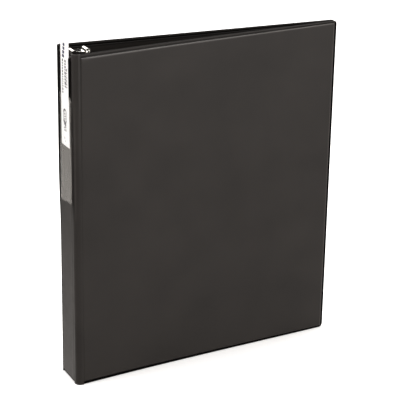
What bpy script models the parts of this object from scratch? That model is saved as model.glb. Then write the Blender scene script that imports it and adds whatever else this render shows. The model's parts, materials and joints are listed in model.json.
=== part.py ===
"""Letter-size ring binder: welded vinyl covers round stiff boards, and 1 inch round rings on the spine.

Metres, +Z up. The binder stands closed on its bottom edge: the spine is at -X, the fore-edge at +X,
the front cover at -Y and the back cover at +Y. The origin is the centre of the base of its bounding box.
Every piece is a separate object, and each moving group hangs on an empty that stands on its joint axis.
"""

import math

import bmesh
import bpy
from mathutils import Matrix, Vector

MM = 0.001

# Overall
HEIGHT = 292.1 * MM  # 11.5 in covers
COVER_WIDTH = 251.0 * MM  # from the spine corner to the fore-edge, along the cover
SPINE_WIDTH = 36.0 * MM  # between the two cover mid-planes at the spine
COVER_LEAN = math.radians(3.75)  # each cover leans in, so that the covers close at the fore-edge

# Panels: film, board and film, with a welded flange all round
FILM = 0.35 * MM
BOARD = 1.8 * MM
AIR = 0.1 * MM  # gap kept between two faces that touch
FACE = BOARD / 2 + AIR + FILM  # panel mid-plane to its outer face
FLANGE_FACE = AIR / 2 + FILM  # the same on the flange
FLANGE = 3.0 * MM
STEP = 0.6 * MM  # width of the slope from the flange up to the board
BOARD_INSET = 0.3 * MM
FORE_RADIUS = 4.0 * MM
SPINE_CORNER_RADIUS = 0.8 * MM
SPINE_FACE = 12.5 * MM  # half the flat width of the spine over its board

# Hinge webs: a quarter round of welded film between two folds
FOLD_FROM_CORNER = 4.4 * MM  # each fold to the corner where spine and cover planes meet
FOLD_GAP = 0.35 * MM  # film edge to fold line
HINGE_RIM = 0.65 * MM  # flat of a cover film beside its fold
WEB = 2 * FLANGE_FACE

# Spine label
HOLDER_FILM = 0.25 * MM
HOLDER_BOTTOM, HOLDER_TOP = 162.0 * MM, 288.0 * MM
HOLDER_WELD = 1.4 * MM
HOLDER_SPARE = 10.0 * MM  # the film is made this much too long, and trimmed off square
CARD_WIDTH, CARD_LENGTH, CARD_THICK = 18.0 * MM, 89.0 * MM, 0.4 * MM
CARD_BOTTOM = 211.7 * MM
LABEL_CORNER_RADIUS = 0.5 * MM

# Inner pockets
POCKET_FILM = 0.25 * MM
POCKET_START, POCKET_END = 42.0 * MM, 244.0 * MM  # along the cover
POCKET_BOTTOM, POCKET_TOP = 4.5 * MM, 120.0 * MM

# Ring metal. Heights above the spine's inner face are called rises.
RING_WIRE = 1.1 * MM
RING_RADIUS = 12.7 * MM + RING_WIRE  # 1 inch inside diameter
RING_RISE = 17.1 * MM
RING_PITCH = 108.0 * MM  # 4.25 in
RING_END_Y = 3.6 * MM  # where the wire lies down on its leaf
RING_TIP_GAP = 0.15 * MM
SHEET = 0.7 * MM
HOUSING_END = 5.5 * MM  # housing end to cover edge
ARCH_HALF_WIDTH = 8.15 * MM  # these three are at mid-sheet
ARCH_SHOULDER_RISE = 2.2 * MM
ARCH_HEIGHT = 4.05 * MM
HEM_RADIUS = 0.65 * MM
HEM_HOOK = 0.65 * MM
NOTCH_INNER, NOTCH_OUTER = 2.6 * MM, 10.0 * MM
NOTCH_HALF, NOTCH_RISE = 1.7 * MM, 1.95 * MM
CROWN_CUT_HALF, CROWN_CUT_LENGTH = 5.7 * MM, 3.8 * MM

LEAF_PIVOT_Y, LEAF_PIVOT_RISE = 7.2 * MM, 2.7 * MM
LEAF_TILT = math.radians(8)  # inner edges lean towards the spine while the rings are closed
LEAF_WIDTH, LEAF_LIP = 7.0 * MM, 0.1 * MM
LEAF_THICK = 0.8 * MM
LEAF_END = 9.2 * MM  # leaf end to cover edge
LEAF_NOTCH_RADIUS = 3.0 * MM

RIVET_OFFSET = 124.0 * MM  # from mid-height
RIVET_SHANK, RIVET_HOLE = 1.75 * MM, 2.1 * MM
RIVET_HEAD, RIVET_HEAD_THICK = 4.4 * MM, 0.6 * MM
RIVET_CROWN, RIVET_CROWN_THICK = 3.2 * MM, 0.8 * MM
RIVET_FLAT, RIVET_BEVEL = 1.8 * MM, (2.9 * MM, 0.5 * MM)  # flat top, and (radius, height) of the bevel
SINK_GAP = 0.3 * MM

TRIGGER_END = 7.5 * MM  # trigger pivot to cover edge
TRIGGER_RISE = 2.6 * MM
TRIGGER_SHEET = 0.9 * MM
TONGUE_HALF, TRIGGER_HALF = 2.4 * MM, 4.4 * MM
# Side view of the trigger's mid-sheet, as (rise, height past its pivot) in mm
TONGUE_LINE = ((0.80, -4.00), (0.80, -1.70))
SHANK_LINE = ((0.80, -1.30), (0.82, -0.70), (1.12, -0.10), (1.75, 0.30), (2.42, 1.30))
SADDLE_LINE = ((6.0, 5.85), (7.6, 5.65), (11.6, 5.65), (13.0, 5.85))
HUMP_CENTRE, HUMP_RADIUS = (4.0, 5.35), 1.5
ROLL_CENTRE, ROLL_RADIUS = (16.9, 5.60), 1.35
TRUNNION_RADIUS, TRUNNION_HALF = 0.7 * MM, 7.2 * MM

# Where things stand
HALF_SPINE = SPINE_WIDTH / 2
LABEL_FACE = FACE + AIR + CARD_THICK + 2 * AIR + HOLDER_FILM
SPINE_X = -(COVER_WIDTH * math.cos(COVER_LEAN) + FLANGE_FACE * math.sin(COVER_LEAN) - LABEL_FACE) / 2
MIDDLE = HEIGHT / 2
RING_HEIGHTS = {"lower": MIDDLE - RING_PITCH, "middle": MIDDLE, "upper": MIDDLE + RING_PITCH}
SIDES = {"front": -1, "back": 1}


# ---------------------------------------------------------------- scene and materials


def clear_scene():
    for obj in list(bpy.data.objects):
        bpy.data.objects.remove(obj)


def new_collection(name):
    collection = bpy.data.collections.new(name)
    bpy.context.scene.collection.children.link(collection)
    return collection


def material(name, color, roughness, metallic=0.0, alpha=1.0):
    made = bpy.data.materials.new(name)
    made.use_nodes = True
    shader = made.node_tree.nodes["Principled BSDF"]
    shader.inputs["Base Color"].default_value = (*color, 1.0)
    shader.inputs["Roughness"].default_value = roughness
    shader.inputs["Metallic"].default_value = metallic
    shader.inputs["Alpha"].default_value = alpha
    return made


clear_scene()
BINDER = new_collection("ring_binder")
CUTTERS = new_collection("ring_binder_cutters")

VINYL = material("black_vinyl", (0.040, 0.036, 0.033), 0.45)
CLEAR = material("clear_film", (0.55, 0.53, 0.51), 0.25, alpha=0.4)
CARD = material("label_card", (0.90, 0.90, 0.89), 0.6)
CHIPBOARD = material("chipboard", (0.35, 0.29, 0.22), 0.9)
NICKEL = material("nickel_plate", (0.78, 0.77, 0.74), 0.2, metallic=1.0)
RIVET_STEEL = material("rivet_steel", (0.62, 0.61, 0.58), 0.35, metallic=1.0)


# ---------------------------------------------------------------- mesh helpers


def object_from(bm, name, finish):
    """A new object in the binder collection, shaded smooth up to 35 degrees, from a bmesh."""
    mesh = bpy.data.meshes.new(name)
    bm.to_mesh(mesh)
    bm.free()
    mesh.shade_smooth()
    mesh.set_sharp_from_angle(angle=math.radians(35))
    mesh.materials.append(finish)
    obj = bpy.data.objects.new(name, mesh)
    BINDER.objects.link(obj)
    return obj


def solidify(obj, thickness):
    """Gives an open surface its thickness, half to each side."""
    shell = obj.modifiers.new("sheet", "SOLIDIFY")
    shell.thickness = thickness
    shell.offset = 0
    shell.use_even_offset = True


def add_boolean(obj, other, operation="DIFFERENCE"):
    """Cuts or joins with a helper object, which is then hidden from renders."""
    cut = obj.modifiers.new(other.name, "BOOLEAN")
    cut.operation = operation
    cut.solver = "EXACT"
    cut.object = other
    other.hide_render = True
    other.display_type = "WIRE"
    for holder in list(other.users_collection):
        holder.objects.unlink(other)
    CUTTERS.objects.link(other)


def box(name, low, high):
    """A closed box between two corners."""
    bm = bmesh.new()
    bmesh.ops.create_cube(bm, size=1)
    size = Vector(high) - Vector(low)
    bm.transform(Matrix.Translation((Vector(low) + Vector(high)) / 2) @ Matrix.Diagonal((*size, 1)))
    return object_from(bm, name, NICKEL)


def cylinder(name, radius, start, end, sides=24):
    """A closed cylinder between two points."""
    start, end = Vector(start), Vector(end)
    along = end - start
    bm = bmesh.new()
    bmesh.ops.create_cone(
        bm, cap_ends=True, segments=sides, radius1=radius, radius2=radius, depth=along.length
    )
    turn = along.to_track_quat("Z", "Y").to_matrix().to_4x4()
    bm.transform(Matrix.Translation((start + end) / 2) @ turn)
    return object_from(bm, name, NICKEL)


def rounded_loop(u_low, u_high, z_low, z_high, radius_low, radius_high, steps=5):
    """Points of a rounded rectangle, anticlockwise. radius_low rounds the two corners at u_low."""
    corners = (
        (u_low + radius_low, z_low + radius_low, radius_low, 180),
        (u_high - radius_high, z_low + radius_high, radius_high, 270),
        (u_high - radius_high, z_high - radius_high, radius_high, 0),
        (u_low + radius_low, z_high - radius_low, radius_low, 90),
    )
    points = []
    for u, z, radius, first in corners:
        for step in range(steps + 1):
            angle = math.radians(first + 90 * step / steps)
            points.append((u + radius * math.cos(angle), z + radius * math.sin(angle)))
    return points


def stepped_sheet(loops):
    """An open surface through (loop, offset) pairs, from the rim inwards, closed by a flat middle."""
    bm = bmesh.new()
    rows = [[bm.verts.new((u, offset, z)) for u, z in loop] for loop, offset in loops]
    for outer, inner in zip(rows, rows[1:]):
        for i in range(len(outer)):
            j = (i + 1) % len(outer)
            bm.faces.new((outer[i], outer[j], inner[j], inner[i]))
    bm.faces.new(rows[-1])
    bmesh.ops.recalc_face_normals(bm, faces=bm.faces)
    return bm


def plate(loop, offset_low, offset_high):
    """A closed flat plate with the outline of a loop."""
    bm = stepped_sheet([(loop, offset_low)])
    grown = bmesh.ops.extrude_face_region(bm, geom=list(bm.faces))
    moved = [item for item in grown["geom"] if isinstance(item, bmesh.types.BMVert)]
    bmesh.ops.translate(bm, vec=(0, offset_high - offset_low, 0), verts=moved)
    bmesh.ops.recalc_face_normals(bm, faces=bm.faces)
    return bm


def put(bm, matrix):
    """Moves a bmesh, and keeps its faces pointing out if the matrix mirrors it."""
    bm.transform(matrix)
    if matrix.determinant() < 0:
        bmesh.ops.reverse_faces(bm, faces=bm.faces)
    return bm


def cover_place(side):
    """From a cover's own axes (along, outwards, up) to where that cover stands."""
    mirror = Matrix.Diagonal((1, side, 1, 1))
    lean = Matrix.Rotation(-COVER_LEAN, 4, "Z")
    return mirror @ Matrix.Translation((SPINE_X, HALF_SPINE, 0)) @ lean


def spine_place():
    """From the spine panel's own axes (across, outwards, up) to where the spine stands."""
    return Matrix.Translation((SPINE_X, 0, 0)) @ Matrix.Rotation(math.radians(90), 4, "Z")


def joint_empty(name, location):
    """An empty on a joint axis, for the pieces that turn or slide there."""
    empty = bpy.data.objects.new(name, None)
    empty.empty_display_size = 0.02
    empty.location = location
    BINDER.objects.link(empty)
    bpy.context.view_layer.update()
    return empty


def hang(empty, *pieces):
    """Parents pieces to an empty without moving them."""
    bpy.context.view_layer.update()
    for piece in pieces:
        piece.parent = empty
        piece.matrix_parent_inverse = empty.matrix_world.inverted()


# ---------------------------------------------------------------- panels


def film_loops(low, high, rim_low, rim_high, radius, side):
    """The three loops of one film: rim, foot of the step, and edge of the raised face."""
    flange = side * (AIR / 2 + FILM / 2)
    face = side * (FACE - FILM / 2)
    inner_radius = max(radius - FLANGE, SPINE_CORNER_RADIUS)
    rim = rounded_loop(low, high, 0, HEIGHT, SPINE_CORNER_RADIUS, radius)
    foot = rounded_loop(
        low + rim_low, high - rim_high, FLANGE, HEIGHT - FLANGE, SPINE_CORNER_RADIUS, inner_radius
    )
    raised = rounded_loop(
        low + rim_low + STEP,
        high - rim_high - STEP,
        FLANGE + STEP,
        HEIGHT - FLANGE - STEP,
        SPINE_CORNER_RADIUS,
        inner_radius,
    )
    return [(rim, flange), (foot, flange), (raised, face)]


def make_film(name, extent, rims, radius, side, place):
    """An outer (side 1) or inner (side -1) film of a panel."""
    film = object_from(put(stepped_sheet(film_loops(*extent, *rims, radius, side)), place), name, VINYL)
    solidify(film, FILM)
    return film


def make_board(name, extent, rims, radius, place):
    inset = FLANGE + STEP + BOARD_INSET
    low = extent[0] + rims[0] + STEP + BOARD_INSET
    high = extent[1] - rims[1] - STEP - BOARD_INSET
    loop = rounded_loop(low, high, inset, HEIGHT - inset, SPINE_CORNER_RADIUS, radius)
    return object_from(put(plate(loop, -BOARD / 2, BOARD / 2), place), name, CHIPBOARD)


def make_cover(name, side):
    """Board, two films and the inner pocket of one cover."""
    place = cover_place(side)
    extent = (FOLD_FROM_CORNER + FOLD_GAP, COVER_WIDTH)
    rims = (HINGE_RIM, FLANGE)
    board = make_board(name + "_board", extent, rims, FORE_RADIUS - FLANGE, place)
    outer = make_film(name + "_outer_vinyl", extent, rims, FORE_RADIUS, 1, place)
    inner = make_film(name + "_inner_vinyl", extent, rims, FORE_RADIUS, -1, place)
    pocket_loop = rounded_loop(
        POCKET_START, POCKET_END, POCKET_BOTTOM, POCKET_TOP, SPINE_CORNER_RADIUS, SPINE_CORNER_RADIUS
    )
    pocket_face = -(FACE + AIR)
    pocket_sheet = put(plate(pocket_loop, pocket_face - POCKET_FILM, pocket_face), place)
    pocket = object_from(pocket_sheet, name + "_inner_pocket", VINYL)
    return board, outer, inner, pocket


def make_spine():
    """The spine's board and films. The board and the inner film are drilled for the rivets."""
    place = spine_place()
    edge = SPINE_FACE + STEP + FOLD_GAP
    extent = (-edge, edge)
    rims = (FOLD_GAP, FOLD_GAP)
    board = make_board("spine_board", extent, rims, SPINE_CORNER_RADIUS, place)
    make_film("spine_outer_vinyl", extent, rims, SPINE_CORNER_RADIUS, 1, place)
    inner = make_film("spine_inner_vinyl", extent, rims, SPINE_CORNER_RADIUS, -1, place)
    return board, inner


def web_arc(steps=10):
    """Mid-line of the back hinge web in plan, from the spine fold to the cover fold."""
    turn = math.pi / 2 + COVER_LEAN
    radius = FOLD_FROM_CORNER / math.tan(turn / 2)
    centre = Vector((SPINE_X + radius, HALF_SPINE - FOLD_FROM_CORNER))
    trim = FOLD_GAP / radius
    points = []
    for step in range(steps + 1):
        angle = trim + (turn - 2 * trim) * step / steps
        points.append(centre + radius * Vector((-math.cos(angle), math.sin(angle))))
    return points


def extruded_strip(points, z_low, z_high, matrix):
    """An open surface standing on a plan line."""
    bm = bmesh.new()
    low = [bm.verts.new((x, y, z_low)) for x, y in points]
    high = [bm.verts.new((x, y, z_high)) for x, y in points]
    for i in range(len(points) - 1):
        bm.faces.new((low[i], low[i + 1], high[i + 1], high[i]))
    return put(bm, matrix)


def make_web(name, side):
    bm = extruded_strip(web_arc(), 0, HEIGHT, Matrix.Diagonal((1, side, 1, 1)))
    web = object_from(bm, name, VINYL)
    solidify(web, WEB)
    return web


def spine_fold(side):
    """The fold between spine and web, on the film's outer face."""
    return Vector((SPINE_X - FLANGE_FACE, side * (HALF_SPINE - FOLD_FROM_CORNER), 0))


def cover_fold(side):
    """The fold between web and cover, on the film's outer face."""
    return cover_place(side) @ Vector((FOLD_FROM_CORNER, FLANGE_FACE, 0))


# ---------------------------------------------------------------- label


def make_label_holder():
    """A clear film welded to the spine along its sides and bottom, and open at the top."""
    weld = FACE + AIR / 2 + HOLDER_FILM / 2
    face = LABEL_FACE - HOLDER_FILM / 2
    above = HOLDER_TOP + HOLDER_SPARE
    rim = rounded_loop(
        -SPINE_FACE, SPINE_FACE, HOLDER_BOTTOM, above, SPINE_CORNER_RADIUS, SPINE_CORNER_RADIUS
    )
    foot, raised = (
        rounded_loop(
            -SPINE_FACE + inset,
            SPINE_FACE - inset,
            HOLDER_BOTTOM + inset,
            above - inset,
            LABEL_CORNER_RADIUS,
            LABEL_CORNER_RADIUS,
        )
        for inset in (HOLDER_WELD, HOLDER_WELD + STEP)
    )
    bm = stepped_sheet([(rim, weld), (foot, weld), (raised, face)])
    bmesh.ops.bisect_plane(
        bm,
        geom=[*bm.verts, *bm.edges, *bm.faces],
        plane_co=(0, 0, HOLDER_TOP),
        plane_no=(0, 0, 1),
        clear_outer=True,
    )
    holder = object_from(put(bm, spine_place()), "label_holder", CLEAR)
    solidify(holder, HOLDER_FILM)
    return holder


def make_label_card():
    low = FACE + 1.5 * AIR
    loop = rounded_loop(
        -CARD_WIDTH / 2,
        CARD_WIDTH / 2,
        CARD_BOTTOM,
        CARD_BOTTOM + CARD_LENGTH,
        LABEL_CORNER_RADIUS,
        LABEL_CORNER_RADIUS,
        steps=3,
    )
    return object_from(put(plate(loop, low, low + CARD_THICK), spine_place()), "label_card", CARD)


# ---------------------------------------------------------------- ring metal


def rise(height):
    """World x of a height above the spine's inner face."""
    return SPINE_X + FACE + height


def arch_profile():
    """Mid-line of the back half of the housing in plan: arch, wall and hem, from the crown outwards."""
    points = []
    arch_steps, hem_steps = 9, 6
    for step in range(arch_steps + 1):
        angle = math.pi / 2 * step / arch_steps
        points.append(
            (
                rise(ARCH_SHOULDER_RISE + ARCH_HEIGHT * math.cos(angle)),
                ARCH_HALF_WIDTH * math.sin(angle),
            )
        )
    hem_rise = AIR + SHEET / 2 + HEM_RADIUS
    for step in range(hem_steps + 1):
        angle = math.pi * step / hem_steps
        points.append(
            (
                rise(hem_rise - HEM_RADIUS * math.sin(angle)),
                ARCH_HALF_WIDTH - HEM_RADIUS * (1 - math.cos(angle)),
            )
        )
    points.append((rise(hem_rise + HEM_HOOK), ARCH_HALF_WIDTH - 2 * HEM_RADIUS))
    return points


def make_housing():
    """The arched sheet over the leaves, notched for the rings, the rivets and the triggers."""
    half = arch_profile()
    whole = [(x, -y) for x, y in reversed(half[1:])] + half
    bm = extruded_strip(whole, HOUSING_END, HEIGHT - HOUSING_END, Matrix.Identity(4))
    housing = object_from(bm, "ring_housing", NICKEL)
    solidify(housing, SHEET)
    for name, z in RING_HEIGHTS.items():
        for side_name, side in SIDES.items():
            y_range = sorted((side * NOTCH_INNER, side * NOTCH_OUTER))
            notch = box(
                f"{side_name}_{name}_ring_notch",
                (rise(NOTCH_RISE), y_range[0], z - NOTCH_HALF),
                (rise(RING_RISE), y_range[1], z + NOTCH_HALF),
            )
            add_boolean(housing, notch)
    for name, z in (("bottom", HOUSING_END), ("top", HEIGHT - HOUSING_END)):
        cut = box(
            name + "_crown_cut",
            (rise(ARCH_SHOULDER_RISE), -CROWN_CUT_HALF, z - CROWN_CUT_LENGTH),
            (rise(RING_RISE), CROWN_CUT_HALF, z + CROWN_CUT_LENGTH),
        )
        add_boolean(housing, cut)
    for name, z in rivet_heights():
        hole = cylinder(name + "_housing_hole", RIVET_HOLE, (rise(ARCH_SHOULDER_RISE), 0, z), (rise(RING_RISE), 0, z))
        add_boolean(housing, hole)
    return housing


def rivet_heights():
    return (("bottom", MIDDLE - RIVET_OFFSET), ("top", MIDDLE + RIVET_OFFSET))


def make_rivet(name, z):
    """A turned rivet from a countersink in the board's outer face to a crown on the housing."""
    crown_low = ARCH_SHOULDER_RISE + ARCH_HEIGHT + SHEET / 2 + AIR / 2
    head_low = -(FACE + BOARD / 2) + AIR
    outline = (
        (0, crown_low + RIVET_CROWN_THICK),
        (RIVET_FLAT, crown_low + RIVET_CROWN_THICK),
        (RIVET_BEVEL[0], crown_low + RIVET_BEVEL[1]),
        (RIVET_CROWN, crown_low),
        (RIVET_SHANK, crown_low),
        (RIVET_SHANK, head_low + RIVET_HEAD_THICK),
        (RIVET_HEAD, head_low + RIVET_HEAD_THICK),
        (RIVET_HEAD, head_low),
        (0, head_low),
    )
    bm = bmesh.new()
    verts = [bm.verts.new((radius, 0, height)) for radius, height in outline]
    for first, second in zip(verts, verts[1:]):
        bm.edges.new((first, second))
    rivet = object_from(bm, name, RIVET_STEEL)
    turned = rivet.modifiers.new("turned", "SCREW")
    turned.steps = turned.render_steps = 24
    turned.use_merge_vertices = True
    turned.merge_threshold = 0.00005
    rivet.rotation_euler = (0, math.radians(90), 0)
    rivet.location = (rise(0), 0, z)
    return rivet


def drill_for_rivets(board, inner_film):
    """Clearance holes through the spine's board and inner film, and a countersink for each head."""
    reach = 5 * MM
    for name, z in rivet_heights():
        for piece in (board, inner_film):
            hole = cylinder(
                f"{name}_hole_in_{piece.name}", RIVET_HOLE, (rise(-reach), 0, z), (rise(reach), 0, z)
            )
            add_boolean(piece, hole)
        sink_floor = -(FACE + BOARD / 2) + AIR + RIVET_HEAD_THICK + AIR
        sink = cylinder(
            name + "_countersink", RIVET_HEAD + SINK_GAP, (rise(-reach), 0, z), (rise(sink_floor), 0, z)
        )
        add_boolean(board, sink)


def leaf_pivot(side):
    return Vector((rise(LEAF_PIVOT_RISE), side * LEAF_PIVOT_Y, 0))


def make_leaf(name, side):
    """A toggle leaf in its own axes (0 at the pivot, +Y to the inner edge), then tilted into place."""
    leaf = box(
        name,
        (-LEAF_THICK / 2, -LEAF_LIP, LEAF_END),
        (LEAF_THICK / 2, LEAF_WIDTH, HEIGHT - LEAF_END),
    )
    tilt = Matrix.Rotation(-side * LEAF_TILT, 4, "Z")
    place = Matrix.Translation(leaf_pivot(side)) @ tilt @ Matrix.Diagonal((1, -side, 1, 1))
    leaf.data.transform(place)
    if side > 0:
        leaf.data.flip_normals()
    for rivet_name, z in rivet_heights():
        notch = cylinder(
            f"{rivet_name}_notch_in_{name}", LEAF_NOTCH_RADIUS, (rise(0), 0, z), (rise(ARCH_HEIGHT), 0, z)
        )
        add_boolean(leaf, notch)
    return leaf


def make_half_ring(name, side, z):
    """Half of a round ring: a wire from its tip at the top round to its foot on the leaf."""
    steps = 22
    first = math.asin(RING_TIP_GAP / RING_RADIUS)
    last = math.pi - math.asin(RING_END_Y / RING_RADIUS)
    curve = bpy.data.curves.new(name, "CURVE")
    curve.dimensions = "3D"
    curve.bevel_depth = RING_WIRE
    curve.bevel_resolution = 2
    curve.use_fill_caps = True
    line = curve.splines.new("POLY")
    line.points.add(steps)
    for step in range(steps + 1):
        angle = first + (last - first) * step / steps
        x = rise(RING_RISE + RING_RADIUS * math.cos(angle))
        line.points[step].co = (x, side * RING_RADIUS * math.sin(angle), z, 1)
    curve.materials.append(NICKEL)
    ring = bpy.data.objects.new(name, curve)
    BINDER.objects.link(ring)
    return ring


def trigger_pivot(end):
    z = HEIGHT - TRIGGER_END if end > 0 else TRIGGER_END
    return Vector((rise(TRIGGER_RISE), 0, z))


def arc_points(centre, radius, first, last, steps):
    """Points on an arc, from one angle to another in degrees."""
    points = []
    for step in range(steps + 1):
        angle = math.radians(first + (last - first) * step / steps)
        points.append((centre[0] + radius * math.cos(angle), centre[1] + radius * math.sin(angle)))
    return points


def trigger_path():
    """Side view of a trigger from its tongue to its rolled tip, as (rise, height past the pivot, half width)."""
    hump = arc_points(HUMP_CENTRE, HUMP_RADIUS, 180, 58, 6)
    roll = arc_points(ROLL_CENTRE, ROLL_RADIUS, 108, -120, 10)
    lever = [*SHANK_LINE, *hump, *SADDLE_LINE, *roll]
    points = [(across * MM, past * MM, TONGUE_HALF) for across, past in TONGUE_LINE]
    return points + [(across * MM, past * MM, TRIGGER_HALF) for across, past in lever]


def make_trigger(name, end):
    """A bent sheet lever with a tongue under the leaves, on a trunnion that lies on the housing's hems."""
    pivot = trigger_pivot(end)
    bm = bmesh.new()
    rows = []
    for height, past, half in trigger_path():
        x, z = rise(height), pivot.z + end * past
        rows.append([bm.verts.new((x, y, z)) for y in (-half, half)])
    for (a, b), (c, d) in zip(rows, rows[1:]):
        bm.faces.new((a, b, d, c) if end > 0 else (a, c, d, b))
    lever = object_from(bm, name, NICKEL)
    solidify(lever, TRIGGER_SHEET)
    trunnion = cylinder(
        name + "_trunnion",
        TRUNNION_RADIUS,
        pivot - Vector((0, TRUNNION_HALF, 0)),
        pivot + Vector((0, TRUNNION_HALF, 0)),
        sides=12,
    )
    add_boolean(lever, trunnion, "UNION")
    return lever


# ---------------------------------------------------------------- assembly


def build():
    spine_board, spine_inner_film = make_spine()
    drill_for_rivets(spine_board, spine_inner_film)
    make_label_holder()
    card = make_label_card()
    hang(joint_empty("label_card_slide", (SPINE_X - FACE, 0, CARD_BOTTOM)), card)
    make_housing()
    for name, z in rivet_heights():
        make_rivet(name + "_rivet", z)

    for name, side in SIDES.items():
        web = make_web(name + "_hinge_strip", side)
        web_empty = joint_empty(name + "_spine_fold", spine_fold(side))
        cover_empty = joint_empty(name + "_cover_fold", cover_fold(side))
        hang(web_empty, web, cover_empty)
        hang(cover_empty, *make_cover(name + "_cover", side))

        leaf_empty = joint_empty(name + "_leaf_pivot", leaf_pivot(side))
        hang(leaf_empty, make_leaf(name + "_leaf", side))
        for level, z in RING_HEIGHTS.items():
            hang(leaf_empty, make_half_ring(f"{name}_{level}_half_ring", side, z))

    for name, end in (("bottom", -1), ("top", 1)):
        trigger = make_trigger(name + "_trigger", end)
        hang(joint_empty(name + "_trigger_pivot", trigger_pivot(end)), trigger)


build()
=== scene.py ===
"""Looks of the ring binder: welded vinyl, label holder and card, ring metal, stage, light and camera."""

import json
import math

import bmesh
import bpy
from mathutils import Matrix, Vector, noise
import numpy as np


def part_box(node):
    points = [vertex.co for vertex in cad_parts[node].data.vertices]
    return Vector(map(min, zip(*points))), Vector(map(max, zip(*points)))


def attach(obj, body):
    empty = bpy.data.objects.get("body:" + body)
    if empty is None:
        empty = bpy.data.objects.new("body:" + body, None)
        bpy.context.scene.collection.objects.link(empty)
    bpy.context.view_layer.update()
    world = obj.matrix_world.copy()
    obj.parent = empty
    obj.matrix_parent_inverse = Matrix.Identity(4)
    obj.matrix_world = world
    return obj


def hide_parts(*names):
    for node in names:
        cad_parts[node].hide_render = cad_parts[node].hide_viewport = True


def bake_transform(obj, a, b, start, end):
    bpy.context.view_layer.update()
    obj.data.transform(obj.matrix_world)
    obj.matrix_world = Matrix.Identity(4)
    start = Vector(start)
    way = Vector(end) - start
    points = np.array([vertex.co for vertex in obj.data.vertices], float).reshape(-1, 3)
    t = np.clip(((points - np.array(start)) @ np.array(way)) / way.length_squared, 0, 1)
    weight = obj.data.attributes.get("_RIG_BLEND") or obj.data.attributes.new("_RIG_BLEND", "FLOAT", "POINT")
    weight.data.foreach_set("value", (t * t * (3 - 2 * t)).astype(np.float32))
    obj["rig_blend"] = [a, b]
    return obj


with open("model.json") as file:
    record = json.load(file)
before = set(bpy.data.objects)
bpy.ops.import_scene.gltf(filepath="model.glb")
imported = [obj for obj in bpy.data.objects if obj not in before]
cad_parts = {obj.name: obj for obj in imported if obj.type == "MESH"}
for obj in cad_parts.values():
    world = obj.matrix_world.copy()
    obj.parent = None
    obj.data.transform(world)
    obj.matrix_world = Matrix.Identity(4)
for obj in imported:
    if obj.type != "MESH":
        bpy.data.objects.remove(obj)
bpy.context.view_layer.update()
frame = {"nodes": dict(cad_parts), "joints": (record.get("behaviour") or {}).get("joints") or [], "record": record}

MM = 0.001
JOINTS = {joint["name"]: joint for joint in frame["joints"]}
MOUNTS = {mount["name"]: mount for mount in frame["record"]["mounts"]}
SIDES = {"front": -1, "back": 1}
LEVELS = ("lower", "middle", "upper")
ENDS = {"bottom": -1, "top": 1}

# Panel build-up, as in the CAD: distances from a panel's mid-plane
BOARD_HALF = 0.9 * MM
FILM = 0.35 * MM
FACE = 1.35 * MM
FLANGE_FACE = 0.40 * MM
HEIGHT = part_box("spine_outer_vinyl")[1].z
THIN_FILM = 0.25 * MM  # label holder and inner pockets
BOW = {"front": 1.4 * MM, "back": 0.4 * MM}  # how far each cover's middle has sunk towards the rings
HINGE_THICK = 0.75 * MM  # two films, face to face

# The label holder and its card. Across the spine they sit a little nearer the front; + is towards the back
HOLDER_SPAN = (-13.3 * MM, 10.4 * MM)
HOLDER_REACH = 13.5 * MM
CARD_SPAN = (-10.6 * MM, 6.3 * MM)
CARD_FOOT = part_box("label_card")[0].z
PAINTED_SHADE_FOOT = 249 * MM  # above this the holder carries painted shade beside the card

# Ring metal
SHEET = 0.7 * MM
LEAF_THICK = 0.8 * MM
RIVET_HOLE = 2.1 * MM  # radius


# ---- materials


def set_node(tree, node, **values):
    """Sets a node's properties and sockets by name. A value that another node puts out is linked."""
    for name, value in values.items():
        socket = name.replace("_", " ")
        if hasattr(node, name):
            setattr(node, name, value)
        elif isinstance(value, bpy.types.NodeSocket):
            tree.links.new(value, node.inputs[socket])
        else:
            node.inputs[socket].default_value = value
    return node


def add_node(tree, kind, **values):
    return set_node(tree, tree.nodes.new(kind), **values)


def new_material(name):
    made = bpy.data.materials.new(name)
    made.use_nodes = True
    return made, made.node_tree, made.node_tree.nodes["Principled BSDF"]


def object_coordinates(tree, stretch=(1, 1, 1)):
    place = add_node(tree, "ShaderNodeTexCoord").outputs["Object"]
    return add_node(tree, "ShaderNodeMapping", Vector=place, Scale=stretch).outputs["Vector"]


def ramp(tree, value, stops):
    """A colour ramp on a value. stops are (position, colour)."""
    made = add_node(tree, "ShaderNodeValToRGB", Fac=value)
    elements = made.color_ramp.elements
    while len(elements) < len(stops):
        elements.new(0.5)
    for element, (position, color) in zip(elements, stops):
        element.position = position
        element.color = (*color, 1)
    return made.outputs["Color"]


def mottle(tree, value, color, *stops):
    """A ramp between shades of one colour. stops are (position, how bright)."""
    return ramp(tree, value, [(position, tuple(c * bright for c in color)) for position, bright in stops])


def spread(tree, value, low, high, start=0.0, end=1.0, **more):
    """Maps start to end onto low to high."""
    bounds = {"From_Min": start, "From_Max": end, "To_Min": low, "To_Max": high}
    return add_node(tree, "ShaderNodeMapRange", Value=value, **bounds, **more).outputs["Result"]


def combine(tree, operation, one, two):
    """A value from another node, combined with a second one or a number."""
    made = add_node(tree, "ShaderNodeMath", operation=operation)
    tree.links.new(one, made.inputs[0])
    if isinstance(two, float):
        made.inputs[1].default_value = two
    else:
        tree.links.new(two, made.inputs[1])
    return made.outputs["Value"]


def noise_value(tree, vector, scale, detail=3.0, roughness=0.55):
    values = {"Scale": scale, "Detail": detail, "Roughness": roughness}
    return add_node(tree, "ShaderNodeTexNoise", Vector=vector, **values).outputs["Fac"]


def bump(tree, shader, height, distance, strength):
    """Adds a bump under whatever bump the shader already has."""
    made = add_node(tree, "ShaderNodeBump", Height=height, Distance=distance, Strength=strength)
    normal = shader.inputs["Normal"]
    if normal.is_linked:
        tree.links.new(normal.links[0].from_socket, made.inputs["Normal"])
    tree.links.new(made.outputs["Normal"], normal)


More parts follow.
